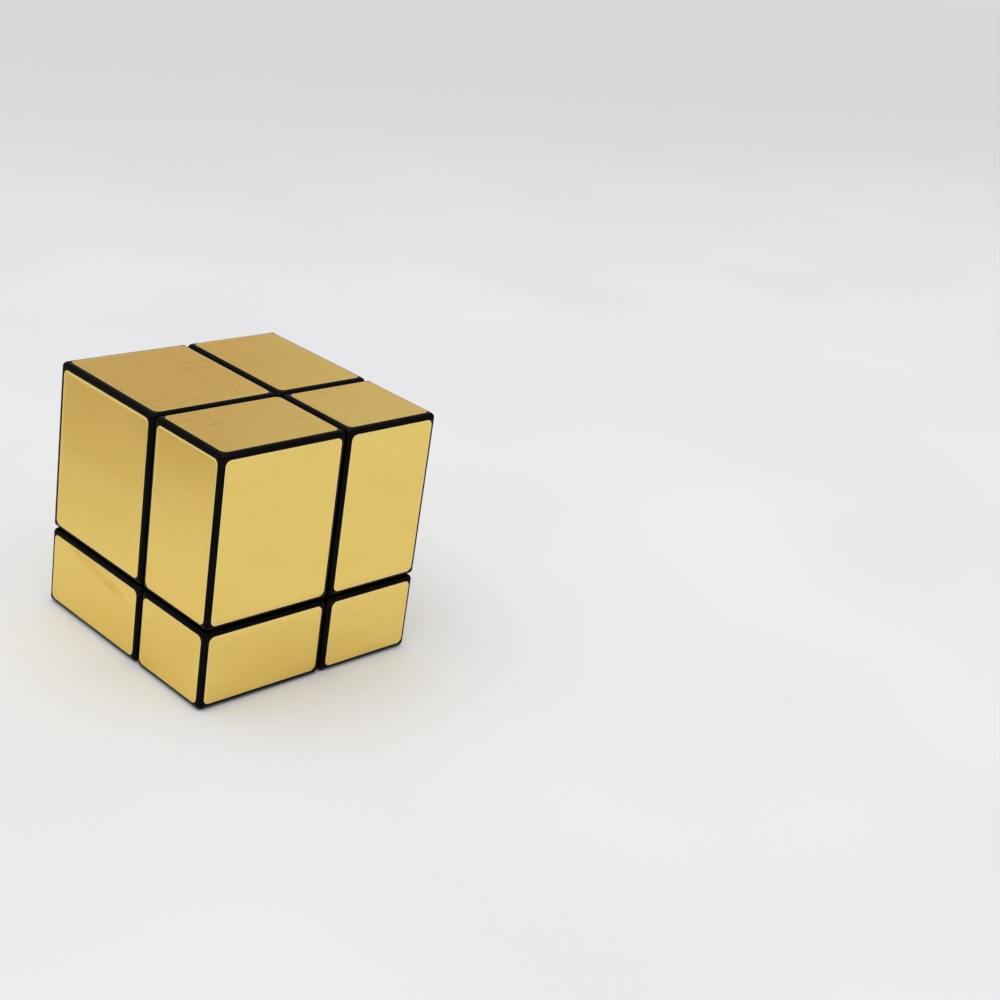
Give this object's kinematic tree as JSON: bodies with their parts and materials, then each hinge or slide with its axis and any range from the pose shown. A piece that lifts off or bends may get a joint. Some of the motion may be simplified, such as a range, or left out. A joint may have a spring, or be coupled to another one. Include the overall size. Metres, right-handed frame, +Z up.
{
  "type": "mirror puzzle cube",
  "caption": "Twisty mirror puzzle cube: black corner pieces of different sizes with gold mirror foils, turning in layers about hidden off-centre axes.",
  "frame": {"origin": "middle of the bottom face, on the surface that the cube rests on", "axes": "+Z up through the top face; +X to the right, out of the thinner side layer; +Y to the back, out of the thicker back layer"},
  "size_m": [0.05, 0.05, 0.05],
  "materials": {
    "gold_foil": "polished",
    "black_shell": "satin",
    "black_inner": "satin",
    "grey_core": "satin",
    "steel": "satin"
  },
  "bodies": {
    "anchor": {"core": "grey_core", "screw_left": "steel", "spring_left": "steel", "screw_front": "steel", "spring_front": "steel", "screw_top": "steel", "spring_top": "steel", "shell_right_back_bottom": "black_shell", "foot_right_back_bottom": "black_inner", "foil_right_back_bottom": "gold_foil", "foil_back_right_bottom": "gold_foil", "foil_bottom_right_back": "gold_foil"},
    "top": {"centre_top": "black_inner", "edge_back_top": "black_inner", "edge_right_top": "black_inner", "shell_right_back_top": "black_shell", "foot_right_back_top": "black_inner", "foil_right_back_top": "gold_foil", "foil_back_right_top": "gold_foil", "foil_top_right_back": "gold_foil"},
    "left": {"edge_left_bottom": "black_inner", "centre_left": "black_inner", "shell_left_back_bottom": "black_shell", "foot_left_back_bottom": "black_inner", "foil_left_back_bottom": "gold_foil", "foil_back_left_bottom": "gold_foil", "foil_bottom_left_back": "gold_foil", "edge_left_back": "black_inner"},
    "front": {"edge_front_bottom": "black_inner", "centre_front": "black_inner", "shell_right_front_bottom": "black_shell", "foot_right_front_bottom": "black_inner", "foil_right_front_bottom": "gold_foil", "foil_front_right_bottom": "gold_foil", "foil_bottom_right_front": "gold_foil", "edge_right_front": "black_inner"},
    "top_left": {"edge_left_top": "black_inner", "shell_left_back_top": "black_shell", "foot_left_back_top": "black_inner", "foil_left_back_top": "gold_foil", "foil_back_left_top": "gold_foil", "foil_top_left_back": "gold_foil"},
    "top_front": {"edge_front_top": "black_inner", "shell_right_front_top": "black_shell", "foot_right_front_top": "black_inner", "foil_right_front_top": "gold_foil", "foil_front_right_top": "gold_foil", "foil_top_right_front": "gold_foil"},
    "left_front": {"shell_left_front_bottom": "black_shell", "foot_left_front_bottom": "black_inner", "foil_left_front_bottom": "gold_foil", "foil_front_left_bottom": "gold_foil", "foil_bottom_left_front": "gold_foil", "edge_left_front": "black_inner"},
    "top_left_front": {"shell_left_front_top": "black_shell", "foot_left_front_top": "black_inner", "foil_left_front_top": "gold_foil", "foil_front_left_top": "gold_foil", "foil_top_left_front": "gold_foil"}
  },
  "joints": [
    {"name": "turn_top", "type": "hinge", "parent": "anchor", "child": "top", "pos_m": [0.003, -0.005, 0.016], "axis": [0, 0, 1], "continuous": true},
    {"name": "turn_left", "type": "hinge", "parent": "anchor", "child": "left", "pos_m": [0.003, -0.005, 0.016], "axis": [-1, 0, 0], "range_deg": [-360, 360]},
    {"name": "turn_front", "type": "hinge", "parent": "anchor", "child": "front", "pos_m": [0.003, -0.005, 0.016], "axis": [0, -1, 0], "range_deg": [-360, 360]},
    {"name": "turn_left_top", "type": "hinge", "parent": "top", "child": "top_left", "pos_m": [0.003, -0.005, 0.016], "axis": [-1, 0, 0], "range_deg": [-360, 360]},
    {"name": "turn_front_top", "type": "hinge", "parent": "top", "child": "top_front", "pos_m": [0.003, -0.005, 0.016], "axis": [0, -1, 0], "range_deg": [-360, 360]},
    {"name": "turn_front_left", "type": "hinge", "parent": "left", "child": "left_front", "pos_m": [0.003, -0.005, 0.016], "axis": [0, -1, 0], "range_deg": [-360, 360]},
    {"name": "turn_front_left_top", "type": "hinge", "parent": "top_left", "child": "top_left_front", "pos_m": [0.003, -0.005, 0.016], "axis": [0, -1, 0], "range_deg": [-360, 360]}
  ],
  "couplings": [
    {"joint": "turn_left_top", "follows": "turn_left", "ratio": 1},
    {"joint": "turn_front_top", "follows": "turn_front", "ratio": 1},
    {"joint": "turn_front_left", "follows": "turn_front", "ratio": 1},
    {"joint": "turn_front_left_top", "follows": "turn_front", "ratio": 1}
  ]
}
